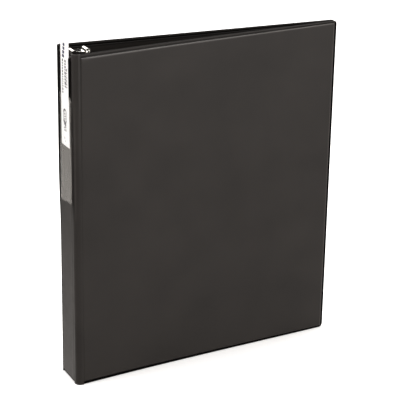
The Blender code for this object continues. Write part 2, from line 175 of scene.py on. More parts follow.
def vinyl_material(name, color, roughness, gloss):
    """Black calendered vinyl: fine leather grain, slow waviness, and scuffs that take the shine off.

    A mesh's tone is painted shade and painted highlight: it makes it from nearly black and dull (-1) to twice as
    light and glossy (1)."""
    made, tree, shader = new_material(name)
    where = object_coordinates(tree)
    shade = mottle(tree, noise_value(tree, where, 28.0), color, (0.3, 0.88), (0.7, 1.12))
    # The tone attribute is painted light: it scales the colour and the gloss darker for painted shade, lighter for
    # a painted highlight.
    tone = add_node(tree, "ShaderNodeAttribute", attribute_name="tone").outputs["Fac"]
    light = spread(tree, tone, 0.03, 1.97, start=-1.0)
    tint = add_node(tree, "ShaderNodeVectorMath", operation="SCALE", Vector=shade, Scale=light)
    shine = combine(tree, "MULTIPLY", light, gloss)
    scuff = noise_value(tree, where, 140.0, detail=6.0, roughness=0.7)
    rough = spread(tree, scuff, roughness - 0.09, roughness + 0.09)
    set_node(tree, shader, Base_Color=tint.outputs["Vector"], Specular_IOR_Level=shine, Roughness=rough)
    grain = 0.02 * MM
    cells = add_node(
        tree, "ShaderNodeTexVoronoi", feature="SMOOTH_F1", Vector=where, Scale=1500.0, Smoothness=0.6
    )
    bump(tree, shader, cells.outputs["Distance"], grain, 0.5)
    bump(tree, shader, noise_value(tree, where, 3200.0, detail=2.0), grain * 0.5, 0.4)
    bump(tree, shader, noise_value(tree, where, 55.0, detail=1.0), 0.12 * MM, 0.35)
    return made


def clear_material(name):
    """Clear film, milky where it clings to the vinyl below the card, with ripples that break up its gloss.

    Beside the card's upper part it carries painted shade: dark, opaque and without gloss."""
    made, tree, shader = new_material(name)
    where = object_coordinates(tree, (1, 1, 0.35))
    white = (1.0, 1.0, 1.0)
    spot = add_node(tree, "ShaderNodeSeparateXYZ", Vector=object_coordinates(tree)).outputs
    foot = ((CARD_FOOT - 1.2 * MM, 0.16), (CARD_FOOT + 0.8 * MM, 0.07))
    cling = mottle(tree, spot["Z"], white, *foot, (PAINTED_SHADE_FOOT, 0.07), (PAINTED_SHADE_FOOT + 9 * MM, 0.03))
    # Painted shade: a dark, opaque band in the film beside each edge of the card's upper part.
    across = spread(tree, spot["Y"], 0.0, 1.0, start=-HOLDER_REACH, end=HOLDER_REACH)
    beside = mottle(tree, across, white, (0.102, 1.0), (0.112, 0.0), (0.725, 0.0), (0.74, 1.0))
    upper = spread(tree, spot["Z"], 0.0, 1.0, start=PAINTED_SHADE_FOOT, end=PAINTED_SHADE_FOOT + 7 * MM)
    painted_shade = combine(tree, "MULTIPLY", beside, upper)
    milky, dark = (0.48, 0.455, 0.425, 1), (0.004, 0.004, 0.004, 1)
    tint = add_node(tree, "ShaderNodeMix", data_type="RGBA", Factor=painted_shade, A=milky, B=dark)
    haze = noise_value(tree, where, 220.0, detail=4.0)
    set_node(tree, shader, Base_Color=tint.outputs["Result"], Alpha=combine(tree, "MAXIMUM", cling, painted_shade))
    shine = spread(tree, painted_shade, 0.5, 0.0)
    set_node(tree, shader, Specular_IOR_Level=shine, Roughness=spread(tree, haze, 0.10, 0.24))
    bump(tree, shader, noise_value(tree, where, 120.0, detail=2.0), 0.10 * MM, 0.5)
    bump(tree, shader, noise_value(tree, where, 900.0, detail=2.0), 0.01 * MM, 0.4)
    return made


def paper_material(name, color, roughness):
    """Coated card: fibres just under the surface and a faint tooth."""
    made, tree, shader = new_material(name)
    where = object_coordinates(tree, (1, 1, 0.3))
    fibre = noise_value(tree, where, 900.0, detail=5.0, roughness=0.7)
    shade = mottle(tree, fibre, color, (0.35, 0.96), (0.65, 1.02))
    rough = spread(tree, fibre, roughness - 0.08, roughness + 0.08)
    set_node(tree, shader, Base_Color=shade, Roughness=rough)
    bump(tree, shader, noise_value(tree, where, 3000.0), 0.01 * MM, 0.4)
    return made


def board_material(name):
    """Grey-brown chipboard: pressed fibres with darker flecks."""
    made, tree, shader = new_material(name)
    fibre = noise_value(tree, object_coordinates(tree, (1, 1, 0.25)), 600.0, detail=8.0, roughness=0.75)
    stops = [(0.30, (0.13, 0.10, 0.07)), (0.48, (0.30, 0.24, 0.17)), (0.70, (0.42, 0.36, 0.28))]
    set_node(tree, shader, Base_Color=ramp(tree, fibre, stops), Roughness=0.9)
    bump(tree, shader, fibre, 0.12 * MM, 0.6)
    return made


def metal_material(name, color, roughness, streak=(1, 1, 0.06)):
    """Plated sheet or wire: drawing lines along its length, and small worn patches."""
    made, tree, shader = new_material(name)
    lines = noise_value(tree, object_coordinates(tree, streak), 1800.0, detail=4.0, roughness=0.6)
    wear = noise_value(tree, object_coordinates(tree), 260.0, detail=5.0, roughness=0.7)
    rough = spread(tree, wear, roughness - 0.06, roughness + 0.10)
    shade = mottle(tree, wear, color, (0.30, 0.86), (0.55, 1.0))
    set_node(tree, shader, Base_Color=shade, Roughness=rough, Metallic=1.0)
    bump(tree, shader, lines, 0.006 * MM, 0.5)
    return made


VINYL = vinyl_material("grained_black_vinyl", (0.0205, 0.0168, 0.0144), 0.45, 0.45)
LINER = vinyl_material("liner_black_vinyl", (0.0230, 0.0200, 0.0180), 0.50, 0.20)
CLEAR = clear_material("clear_holder_film")
CARD = paper_material("white_label_card", (0.80, 0.79, 0.78), 0.55)
INK = paper_material("grey_label_ink", (0.035, 0.035, 0.045), 0.5)
BLUE_INK = paper_material("blue_label_ink", (0.022, 0.022, 0.060), 0.5)
CHIPBOARD = board_material("grey_chipboard")
NICKEL = metal_material("bright_nickel", (0.82, 0.81, 0.78), 0.10)
RING_NICKEL = metal_material("ring_wire_nickel", (0.80, 0.79, 0.76), 0.13, streak=(1, 1, 1))
STEEL = metal_material("zinc_rivet_steel", (0.62, 0.62, 0.60), 0.32, streak=(1, 1, 1))


# ---- mesh helpers


def object_from(bm, name):
    """An object from a bmesh, which is freed."""
    mesh = bpy.data.meshes.new(name)
    bm.to_mesh(mesh)
    bm.free()
    made = bpy.data.objects.new(name, mesh)
    bpy.context.scene.collection.objects.link(made)
    return made


def piece_from(bm, name, finish, smooth_angle=35):
    """A shown piece from a bmesh, in the frame's own axes."""
    piece = object_from(bm, name)
    piece.data.shade_smooth()
    piece.data.set_sharp_from_angle(angle=math.radians(smooth_angle))
    piece.data.materials.append(finish)
    return piece


def settle(piece):
    """Replaces a piece's modifiers by the mesh that they make."""
    bpy.context.view_layer.update()
    made = bpy.data.meshes.new_from_object(piece.evaluated_get(bpy.context.evaluated_depsgraph_get()))
    piece.modifiers.clear()
    old = piece.data
    piece.data = made
    bpy.data.meshes.remove(old)
    made.name = piece.name


def thicken(piece, thickness, offset, even=True):
    """offset -1 builds the sheet behind its faces, 0 to both sides. even keeps it as thick round bends."""
    shell = piece.modifiers.new("sheet", "SOLIDIFY")
    shell.thickness = thickness
    shell.offset = offset
    shell.use_even_offset = even


def round_edges(piece, width):
    bevel = piece.modifiers.new("edges", "BEVEL")
    bevel.width = width
    bevel.segments = 3
    bevel.limit_method = "ANGLE"
    bevel.angle_limit = math.radians(40)
    bevel.harden_normals = False


def cut_with(piece, cutters):
    """Cuts away helper objects, which are then removed."""
    for cutter in cutters:
        cut = piece.modifiers.new(cutter.name, "BOOLEAN")
        cut.operation = "DIFFERENCE"
        cut.solver = "EXACT"
        cut.object = cutter
    settle(piece)
    for cutter in cutters:
        bpy.data.objects.remove(cutter)


def put(bm, matrix):
    """Moves a bmesh, and keeps its faces pointing out if the matrix mirrors it."""
    bm.transform(matrix)
    if matrix.determinant() < 0:
        bmesh.ops.reverse_faces(bm, faces=bm.faces)
    return bm


def join_rows(bm, rows, closed=False):
    """Faces from each row of points to the next. A row may repeat a point."""
    for one, two in zip(rows, rows[1:]):
        for i in range(len(one) if closed else len(one) - 1):
            j = (i + 1) % len(one)
            bm.faces.new(dict.fromkeys((one[i], one[j], two[j], two[i])))


def rounded_cutter(name, low, high, radius):
    """A box cutter whose edges are rounded."""
    bm = bmesh.new()
    bmesh.ops.create_cube(bm, size=1)
    size = Vector(high) - Vector(low)
    bm.transform(Matrix.Translation((Vector(low) + Vector(high)) / 2) @ Matrix.Diagonal((*size, 1)))
    bmesh.ops.bevel(bm, geom=list(bm.edges), offset=radius, segments=4, affect="EDGES", profile=0.5)
    return object_from(bm, name)


def round_cutter(name, radius, low, high):
    """A cylinder cutter along X, from low to high."""
    low, high = Vector(low), Vector(high)
    length = high.x - low.x
    bm = bmesh.new()
    bmesh.ops.create_cone(bm, cap_ends=True, segments=40, radius1=radius, radius2=radius, depth=length)
    bm.transform(Matrix.Translation((low + high) / 2) @ Matrix.Rotation(math.radians(90), 4, "Y"))
    return object_from(bm, name)


# ---- panels of film over board


def rim_point(rect, radii, side, step, cells, corner_cells):
    """One point of a rounded rectangle. side 0 to 3 is bottom, far, top and near; step runs along it.

    The first and last corner_cells steps of a side share each corner's arc between them."""
    u0, u1, z0, z1 = rect
    near, far = radii
    first_radius, last_radius = ((near, far), (far, far), (far, near), (near, near))[side]
    corners = ((u0, z0, 1, 1), (u1, z0, -1, 1), (u1, z1, -1, -1), (u0, z1, 1, -1))
    heading = 90 * side

    def on_arc(corner, radius, angle):
        u, z, du, dz = corners[corner % 4]
        turn = math.radians(angle)
        return Vector((u + du * radius + radius * math.cos(turn), z + dz * radius + radius * math.sin(turn)))

    if step <= corner_cells:
        return on_arc(side, first_radius, heading - 135 + 45 * step / corner_cells)
    if step >= cells - corner_cells:
        past = (step - cells + corner_cells) / corner_cells
        return on_arc(side + 1, last_radius, heading - 90 + 45 * past)
    start = on_arc(side, first_radius, heading - 90)
    end = on_arc(side + 1, last_radius, heading - 90)
    return start.lerp(end, (step - corner_cells) / (cells - 2 * corner_cells))


def panel_surface(loops, cells_u, cells_z, corner_cells=5):
    """An all-quad surface through nested rounded rectangles, from the rim in, with a grid inside the last.

    Each loop is (rectangle, (near radius, far radius), height, tone). Points are (along, height, up)."""
    bm = bmesh.new()
    tone_layer = bm.verts.layers.float.new("tone")
    counts = (cells_u, cells_z, cells_u, cells_z)

    def ring_points(rect, radii):
        return [
            rim_point(rect, radii, side, step, counts[side], corner_cells)
            for side in range(4)
            for step in range(counts[side])
        ]

    rows = []
    for rect, radii, height, tone in loops:
        rows.append([bm.verts.new((u, height, z)) for u, z in ring_points(rect, radii)])
        for vert in rows[-1]:
            vert[tone_layer] = tone
    for outer, inner in zip(rows, rows[1:]):
        for i in range(len(outer)):
            j = (i + 1) % len(outer)
            bm.faces.new((outer[i], inner[i], inner[j], outer[j]))
    last, height = rows[-1], loops[-1][2]
    start_far, start_top = cells_u, cells_u + cells_z
    start_near = start_top + cells_u
    grid = {}
    for i in range(cells_u + 1):
        grid[i, 0] = last[i]
        grid[i, cells_z] = last[(start_near - i) % len(last)]
    for j in range(cells_z + 1):
        grid[cells_u, j] = last[start_far + j]
        grid[0, j] = last[(len(last) - j) % len(last)]

    def at(i, j):
        return grid[i, j].co

    for i in range(1, cells_u):
        for j in range(1, cells_z):
            a, b = i / cells_u, j / cells_z
            sides = at(0, j).lerp(at(cells_u, j), a) + at(i, 0).lerp(at(i, cells_z), b)
            low = at(0, 0).lerp(at(cells_u, 0), a)
            high = at(0, cells_z).lerp(at(cells_u, cells_z), a)
            point = sides - low.lerp(high, b)
            grid[i, j] = bm.verts.new((point.x, height, point.z))
    for i in range(cells_u):
        for j in range(cells_z):
            bm.faces.new((grid[i, j], grid[i, j + 1], grid[i + 1, j + 1], grid[i + 1, j]))
    bm.normal_update()
    return bm


# Film section from the rim in: (inset at a hinge, inset at a free edge, height over the mid-plane) in mm,
# then its tone, from -1 for painted shade, darker and duller, to 1 for a painted highlight, lighter and glossier.
# A free edge has a flat welded flange with painted shade at its rim, a deep pressed line at its foot filled with
# painted shade, and a rounded rise onto the board with a painted highlight on its crest.
FILM_SECTION = (
    (0.00, 0.00, 0.10, -0.9),
    (0.02, 0.10, 0.26, -0.9),
    (0.05, 0.35, 0.36, -0.4),
    (0.08, 0.80, 0.41, -0.1),
    (0.11, 1.50, 0.43, 0.0),
    (0.14, 1.72, 0.36, -0.8),
    (0.17, 1.88, 0.12, -1.0),
    (0.21, 2.55, 0.12, -1.0),
    (0.28, 2.68, 0.50, -0.3),
    (0.36, 2.82, 0.95, 0.6),
    (0.48, 3.10, 1.22, 0.7),
    (0.66, 3.60, 1.34, 0.3),
    (1.00, 4.10, 1.36, 0.0),
    (1.80, 7.00, 1.355, 0.0),
)
HINGE_RADIUS = 0.5 * MM
FORE_RADIUS = 4.0 * MM


def film_loops(near, far, hinged_far, far_radius):
    """Loops of one film between two upright edges. hinged_far is true where the far edge is a hinge too."""
    loops = []
    for at_hinge, at_edge, height, tone in FILM_SECTION:
        far_inset = at_hinge if hinged_far else at_edge
        rect = (near + at_hinge * MM, far - far_inset * MM, at_edge * MM, HEIGHT - at_edge * MM)
        radii = (HINGE_RADIUS, max(far_radius - at_edge * MM, HINGE_RADIUS))
        loops.append((rect, radii, height * MM, tone))
    return loops


def smooth(low, high, value):
    """0 below low, 1 above high, and eased between."""
    share = min(max((value - low) / (high - low), 0.0), 1.0)
    return share * share * (3 - 2 * share)


def paint_rim_shade_and_highlight(bm, facing):
    """Painted shade on the weld at the foot and the fore edge, with a painted highlight on the ridge beside it.
    The liner gets painted shade all over, most on its rise onto the board.
    """
    tone = bm.verts.layers.float["tone"]
    for vert in bm.verts:
        # painted shade and painted highlight, set by distance from the foot and the fore edge
        from_edge = min(vert.co.z, COVER_SPAN - vert.co.x)
        if facing < 0:
            on_rise = 2.6 * MM < min(from_edge, HEIGHT - vert.co.z) < 3.8 * MM
            vert[tone] = -0.8 if on_rise else -0.2
        elif from_edge < 1.9 * MM:
            vert[tone] = -1.0
        elif from_edge < 3.4 * MM:
            vert[tone] = 0.9


def meet_hinge(bm, distance, height_at):
    """Lifts a film's hinge side to where the hinge vinyl meets it. distance(u) is how far off that is."""
    tone = bm.verts.layers.float["tone"]
    for vert in bm.verts:
        far = distance(vert.co.x)
        if far > 1.8 * MM:
            continue
        inside = smooth(2.4 * MM, 3.2 * MM, min(vert.co.z, HEIGHT - vert.co.z))
        rim = height_at(vert.co.z)
        height = rim + (FACE - rim) * smooth(0.1 * MM, 1.2 * MM, far)
        vert.co.y += (height - vert.co.y) * inside
        # Painted shade in the seam where the film meets the hinge, and a painted highlight just beyond it,
        # stronger the deeper the step.
        grooved = (FACE - rim) / (0.6 * MM)
        vert[tone] += (grooved * (-0.8 if far < 0.3 * MM else 0.3) - vert[tone]) * inside


def bow(side, u, span):
    """How far a cover has sunk at a distance from its fold, most in the third nearer the fold."""
    share = min(max(u / span, 0.0), 1.0)
    return BOW[side] * math.sin(math.pi * share**0.7) ** 1.5


def flange_scale(u):
    """The welded flanges are wider near the fold than at the fore edge."""
    return 1.2 - 0.42 * min(max(u / COVER_SPAN, 0.0), 1.0)


def ripple(point, seed, size):
    """Slow unevenness of film over board, the same on every run."""
    return size * noise.noise(point * 22.0 + Vector((seed, 0, 0)))


def cover_matrix(side):
    """From a cover's axes (along from its fold, outwards, up) to the frame."""
    outwards = Vector(MOUNTS[side + "_cover_face"]["axis"])
    along = Vector((abs(outwards.y), -outwards.x * SIDES[side], 0))
    origin = Vector(JOINTS[side + "_cover_fold"]["pos_m"]) - outwards * FLANGE_FACE
    return matrix_of(along, outwards, origin)


def matrix_of(along, outwards, origin):
    made = Matrix((along, outwards, Vector((0, 0, 1)))).transposed().to_4x4()
    made.translation = origin
    return made


def spine_matrix():
    """From the spine's axes (towards the back cover, outwards, up) to the frame."""
    fold = Vector(JOINTS["back_hinge_strip_fold"]["pos_m"])
    return matrix_of(Vector((0, 1, 0)), Vector((-1, 0, 0)), Vector((fold.x + FLANGE_FACE, 0, 0)))


def trim(bm, top):
    """Cuts a film off at the mouth of its pocket."""
    geometry = [*bm.verts, *bm.edges, *bm.faces]
    bmesh.ops.bisect_plane(bm, geom=geometry, plane_co=(0, 0, top), plane_no=(0, 0, 1), clear_outer=True)


def mid_height(name):
    """Height of the middle of a CAD node."""
    low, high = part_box(name)
    return (low.z + high.z) / 2


def board_inset(name, matrix):
    """A CAD board's extent in its panel's own axes."""
    corners = [matrix.inverted() @ vert.co for vert in frame["nodes"][name].data.vertices]
    along = [c.x for c in corners]
    up = [c.z for c in corners]
    return min(along), max(along), min(up), max(up)


COVER_SPAN = board_inset("back_cover_outer_vinyl", cover_matrix("back"))[1]


def sink(bm, side, seed=0, uneven=0):
    """Bows a cover piece inwards, gives its flanges their taper, and makes it a little uneven."""
    for vert in bm.verts:
        place = vert.co
        for edge, inwards in ((0, 1), (HEIGHT, -1)):
            depth = (place.z - edge) * inwards
            if depth < 24 * MM:
                fade = min(max((depth - 8 * MM) / (16 * MM), 0.0), 1.0)
                scale = flange_scale(place.x)
                place.z = edge + inwards * depth * (scale + (1 - scale) * fade * fade * (3 - 2 * fade))
        place.y -= bow(side, place.x, COVER_SPAN)
        edge = min(place.x, COVER_SPAN - place.x, place.z, HEIGHT - place.z)
        if uneven and edge > 4 * MM:
            place.y += ripple(place, seed, uneven) * min(1.0, (edge - 4 * MM) / (20 * MM))


def make_cover_film(side, layer, near):
    """The outer or inner film of a cover."""
    bm = panel_surface(film_loops(near, COVER_SPAN, False, FORE_RADIUS), 30, 34)
    facing = 1 if layer == "outer" else -1
    paint_rim_shade_and_highlight(bm, facing)
    if facing > 0:
        meet_hinge(bm, lambda u: u - near, lambda z: hinge_height(side, 1.1, z))
    put(bm, Matrix.Diagonal((1, facing, 1, 1)))
    sink(bm, side, SIDES[side] * 3 + facing, 0.10 * MM)
    put(bm, cover_matrix(side))
    name = f"{side}_cover_{layer}_film"
    film = piece_from(bm, name, VINYL if layer == "outer" else LINER, 60)
    thicken(film, FILM, -1, even=False)
    settle(film)
    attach(film, side + "_cover")
    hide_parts(f"{side}_cover_{layer}_vinyl")


def plate_bmesh(rect, radii, low, high, cells=(30, 34), edge=0.25 * MM):
    """A closed plate with rounded corners and eased edges, between two heights."""
    u0, u1, z0, z1 = rect

    def loop(inset, height):
        smaller = (u0 + inset, u1 - inset, z0 + inset, z1 - inset)
        return smaller, tuple(max(r - inset, 0.2 * MM) for r in radii), height, 0.0

    loops = [loop(0, high - edge), loop(0.3 * edge, high - 0.3 * edge)]
    loops += [loop(edge, high), loop(4 * edge, high)]
    bm = panel_surface(loops, *cells)
    lower = panel_surface([(r, k, low + high - h, t) for r, k, h, t in loops], *cells)
    bmesh.ops.reverse_faces(lower, faces=lower.faces)
    mesh = bpy.data.meshes.new("lower_half")
    lower.to_mesh(mesh)
    lower.free()
    bm.from_mesh(mesh)
    bpy.data.meshes.remove(mesh)
    rims = [edge_item for edge_item in bm.edges if edge_item.is_boundary]
    bmesh.ops.bridge_loops(bm, edges=rims)
    bmesh.ops.recalc_face_normals(bm, faces=bm.faces)
    return bm


def make_cover_board(side):
    name = side + "_cover_board"
    bm = plate_bmesh(board_inset(name, cover_matrix(side)), (1 * MM, 3 * MM), -BOARD_HALF, BOARD_HALF)
    sink(bm, side)
    board = piece_from(put(bm, cover_matrix(side)), side + "_cover_chipboard", CHIPBOARD)
    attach(board, side + "_cover")
    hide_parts(name)


def make_inner_pocket(side):
    """A film pocket on the inside of a cover: welded at its foot and sides, with a thumb dip in its mouth."""
    node = side + "_cover_inner_pocket"
    u0, u1, z0, z1 = board_inset(node, cover_matrix(side))
    face = FACE + 0.1 * MM + THIN_FILM
    above, dip_width, dip = 12 * MM, 26 * MM, 9 * MM
    loops = []
    for inset, proud in ((0, 0.0), (0.15, 0.05), (1.4, 0.05), (1.7, -0.02), (2.3, 0.12), (4.0, 0.16)):
        rect = (u0 + inset * MM, u1 - inset * MM, z0 + inset * MM, z1 + above - inset * MM)
        loops.append((rect, (0.6 * MM, 0.6 * MM), face + proud * MM, 0.0))
    bm = panel_surface(loops, 30, 20, corner_cells=3)
    trim(bm, z1)
    for vert in bm.verts:
        near_mouth = max(0.0, (vert.co.z - z0) / (z1 - z0)) ** 3
        across = (vert.co.x - (u0 + u1) / 2) / dip_width
        vert.co.z -= dip * math.exp(-across * across) * near_mouth
    put(bm, Matrix.Diagonal((1, -1, 1, 1)))
    sink(bm, side)
    pocket = piece_from(put(bm, cover_matrix(side)), side + "_inner_pocket_film", LINER, 60)
    thicken(pocket, THIN_FILM, -1)
    settle(pocket)
    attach(pocket, side + "_cover")
    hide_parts(node)


# ---- hinges


def hinge_height(side, share, z):
    """Height of a hinge's outer face over its mid-line, from the spine's fold (share 0) to the cover's (1).

    Low down the vinyl is level with the boards. Beside the label holder it dips to the weld, and the back one
    bulges."""
    beside_holder = smooth(145 * MM, 175 * MM, z)
    corner = 1.25 if side == "front" else 0.85 + 0.9 * smooth(120 * MM, 190 * MM, z)
    at_spine = 1.15 - 0.45 * beside_holder
    at_cover = 1.15 - 0.35 * smooth(170 * MM, 250 * MM, z)
    height = at_spine + (corner - at_spine) * smooth(0.0, 0.22, share)
    height += (at_cover - corner) * smooth(0.72, 1.02, share)
    ridge = smooth(235 * MM, 260 * MM, z) * smooth(0.74, 0.84, share) * (1 - smooth(0.90, 0.99, share))
    return (height + 0.3 * ridge) * MM


def hinge_painted_light(side, share, z):
    """Painted light on a hinge. The back hinge gets painted shade next to the spine. The front one has a painted
    shade line and a painted highlight ridge beside the holder.
    """
    if side == "back":
        return -0.9 * (1 - smooth(0.15, 0.45, share))
    beside_holder = smooth(145 * MM, 165 * MM, z) * (1 - smooth(235 * MM, 255 * MM, z))
    painted_shade, ridge = (math.exp(-(((share - middle) / 0.07) ** 2)) for middle in (0.20, 0.46))
    return (0.35 * ridge - painted_shade) * beside_holder


def hinge_line(side, share):
    """Plan point and outward direction on a hinge's mid-line. The front one mirrors the back one."""
    spine_x = JOINTS["back_hinge_strip_fold"]["pos_m"][0] + FLANGE_FACE
    start = Vector((spine_x, JOINTS["back_hinge_strip_fold"]["pos_m"][1]))
    place = cover_matrix("back")
    end, along = place.translation.xy, place.col[0].xy
    turn = math.pi / 2 + math.asin(-along.y)
    radius = (end.y - start.y) / math.sin(turn)
    length = radius * turn
    if share < 0:
        point, outwards = start + Vector((0, share * length)), Vector((-1, 0))
    elif share > 1:
        point, outwards = end + along * (share - 1) * length, Vector((-along.y, along.x))
    else:
        angle = turn * share
        outwards = Vector((-math.cos(angle), math.sin(angle)))
        point = start + Vector((radius, 0)) + outwards * radius
    mirror = SIDES[side]
    return Vector((point.x, point.y * mirror)), Vector((outwards.x, outwards.y * mirror))


def make_hinge_half(side, part):
    """Half of a hinge, as two films welded face to face. The halves meet half-way along the hinge strip."""
    low, high = (-0.095, 0.5) if part == "spine" else (0.5, 1.13)
    columns, rows = 22, 48
    bm = bmesh.new()
    tone = bm.verts.layers.float.new("tone")
    grid = {}
    for column in range(columns + 1):
        share = low + (high - low) * column / columns
        point, outwards = hinge_line(side, share)
        for row in range(rows + 1):
            z = HEIGHT * row / rows
            wave = 0.05 * MM * noise.noise(Vector((share * 2, z * 30, SIDES[side])))
            wave *= math.sin(math.pi * min(max(share, 0), 1)) ** 2
            outer = hinge_height(side, share, z) + wave
            for face, reach in ((0, outer), (1, outer - HINGE_THICK)):
                spot = point + outwards * reach
                vert = bm.verts.new((spot.x, spot.y, z))
                vert[tone] = hinge_painted_light(side, share, z)
                grid[face, column, row] = vert
    for column in range(columns):
        for row in range(rows):
            for face in (0, 1):
                around = ((0, 0), (1, 0), (1, 1), (0, 1))
                corners = [grid[face, column + i, row + j] for i, j in around]
                bm.faces.new(corners if face else corners[::-1])
    edge_cells = [((c, 0), (c + 1, 0)) for c in range(columns)]
    edge_cells += [((columns, r), (columns, r + 1)) for r in range(rows)]
    edge_cells += [((c + 1, rows), (c, rows)) for c in reversed(range(columns))]
    edge_cells += [((0, r + 1), (0, r)) for r in reversed(range(rows))]
    for first, second in edge_cells:
        bm.faces.new((grid[0, *first], grid[0, *second], grid[1, *second], grid[1, *first]))
    bmesh.ops.recalc_face_normals(bm, faces=bm.faces)
    name = f"{side}_hinge_vinyl_at_{part}"
    hinge = piece_from(bm, name, VINYL, 50)
    strip = side + "_hinge_strip"
    reach = 0.11
    if part == "spine":
        start, end = (hinge_line(side, share)[0] for share in (-0.085, reach))
        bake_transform(hinge, "spine", strip, start=(*start, 0), end=(*end, 0))
        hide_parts(strip)
    else:
        start, end = (hinge_line(side, share)[0] for share in (1 - reach, 1.11))
        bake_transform(hinge, strip, side + "_cover", start=(*start, 0), end=(*end, 0))


# ---- spine, label holder and card


def make_spine():
    """The spine's two films and its board, drilled for the rivets."""
    place = spine_matrix()
    half = -hinge_line("back", -0.095)[0].y
    holes = [(end, mid_height(end + "_rivet")) for end in ENDS]
    for layer, facing in (("outer", 1), ("inner", -1)):
        bm = panel_surface(film_loops(half, -half, True, HINGE_RADIUS), 12, 44, corner_cells=3)
        if facing > 0:
            meet_hinge(bm, lambda u: abs(half) - abs(u), lambda z: hinge_height("front", -0.09, z))
            tone = bm.verts.layers.float["tone"]
            for vert in bm.verts:
                if vert.co.x > (10.0 if vert.co.z > CARD_FOOT else 12.2) * MM:
                    vert[tone] = -0.9  # painted shade along the back hinge
        put(bm, Matrix.Diagonal((1, facing, 1, 1)))
        for vert in bm.verts:
            if min(vert.co.z, HEIGHT - vert.co.z) > 5 * MM and abs(vert.co.x) < -half - 1.5 * MM:
                vert.co.y += ripple(vert.co, 20 + facing, 0.05 * MM)
        name = f"spine_{layer}_film"
        film = piece_from(put(bm, place), name, VINYL if facing > 0 else LINER, 60)
        thicken(film, FILM, -1, even=False)
        settle(film)
        if facing < 0:
            cut_with(film, [spine_hole(end, z) for end, z in holes])
        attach(film, "spine")
        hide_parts(f"spine_{layer}_vinyl")
    rect = board_inset("spine_board", place)
    bm = plate_bmesh(rect, (0.8 * MM, 0.8 * MM), -BOARD_HALF, BOARD_HALF, cells=(12, 44))
    board = piece_from(put(bm, place), "spine_chipboard", CHIPBOARD)
    cut_with(board, [spine_hole(end, z) for end, z in holes])
    low_x, high_x = place.translation.x - 4 * MM, place.translation.x - 0.1 * MM
    sinks = [round_cutter(end + "_sink", 4.7 * MM, (low_x, 0, z), (high_x, 0, z)) for end, z in holes]
    cut_with(board, sinks)
    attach(board, "spine")
    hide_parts("spine_board")


def spine_hole(end, z):
    """A cutter for a rivet's hole, right through the spine."""
    x, reach = spine_matrix().translation.x, 4 * MM
    return round_cutter(end + "_rivet_hole", RIVET_HOLE, (x - reach, 0, z), (x + reach, 0, z))


def make_label_holder():
    """Clear film on the spine, welded along its sides and foot, with an open mouth and a step in its foot."""
    low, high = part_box("label_holder")
    place = spine_matrix()
    near, far = HOLDER_SPAN
    clearance = 0.06 * MM
    base = FACE + clearance + THIN_FILM
    above = 8 * MM
    over_card = place.translation.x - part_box("label_card")[0].x + clearance + THIN_FILM
    border = CARD_SPAN[0] - near
    section = [(0.0, 0.0), (0.12 * MM, 0.06), (1.1 * MM, 0.06), (1.25 * MM, 0.0), (1.5 * MM, 0.04)]
    section += [(border - 0.9 * MM, 0.08), (border - 0.5 * MM, 0.35)]
    section += [(border - 0.1 * MM, 1.0), (border + MM, 1.05)]
    loops = []
    for inset, rise in section:
        rect = (near + inset, far - inset, low.z + inset, high.z + above - inset)
        loops.append((rect, (0.8 * MM, 0.8 * MM), base + rise * (over_card - base), 0.0))
    bm = panel_surface(loops, 14, 50, corner_cells=3)
    for vert in bm.verts:
        foot = max(0.0, 1 - (vert.co.z - low.z) / (3 * MM))
        if vert.co.x < 0 and foot > 0:
            vert.co.z += 1.6 * MM * foot * min(1.0, -vert.co.x / (1.2 * MM))
        lift = max(0.0, 1 - (high.z - vert.co.z) / (30 * MM))
        middle = max(0.0, 1 - ((vert.co.x - (near + far) / 2) / (0.4 * (far - near))) ** 2)
        vert.co.y += 0.25 * MM * lift * middle + ripple(vert.co * 2, 40, 0.05 * MM) * middle
    trim(bm, high.z)
    holder = piece_from(put(bm, place), "label_holder_film", CLEAR, 60)
    thicken(holder, THIN_FILM, -1, even=False)
    settle(holder)
    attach(holder, "spine")
    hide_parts("label_holder")


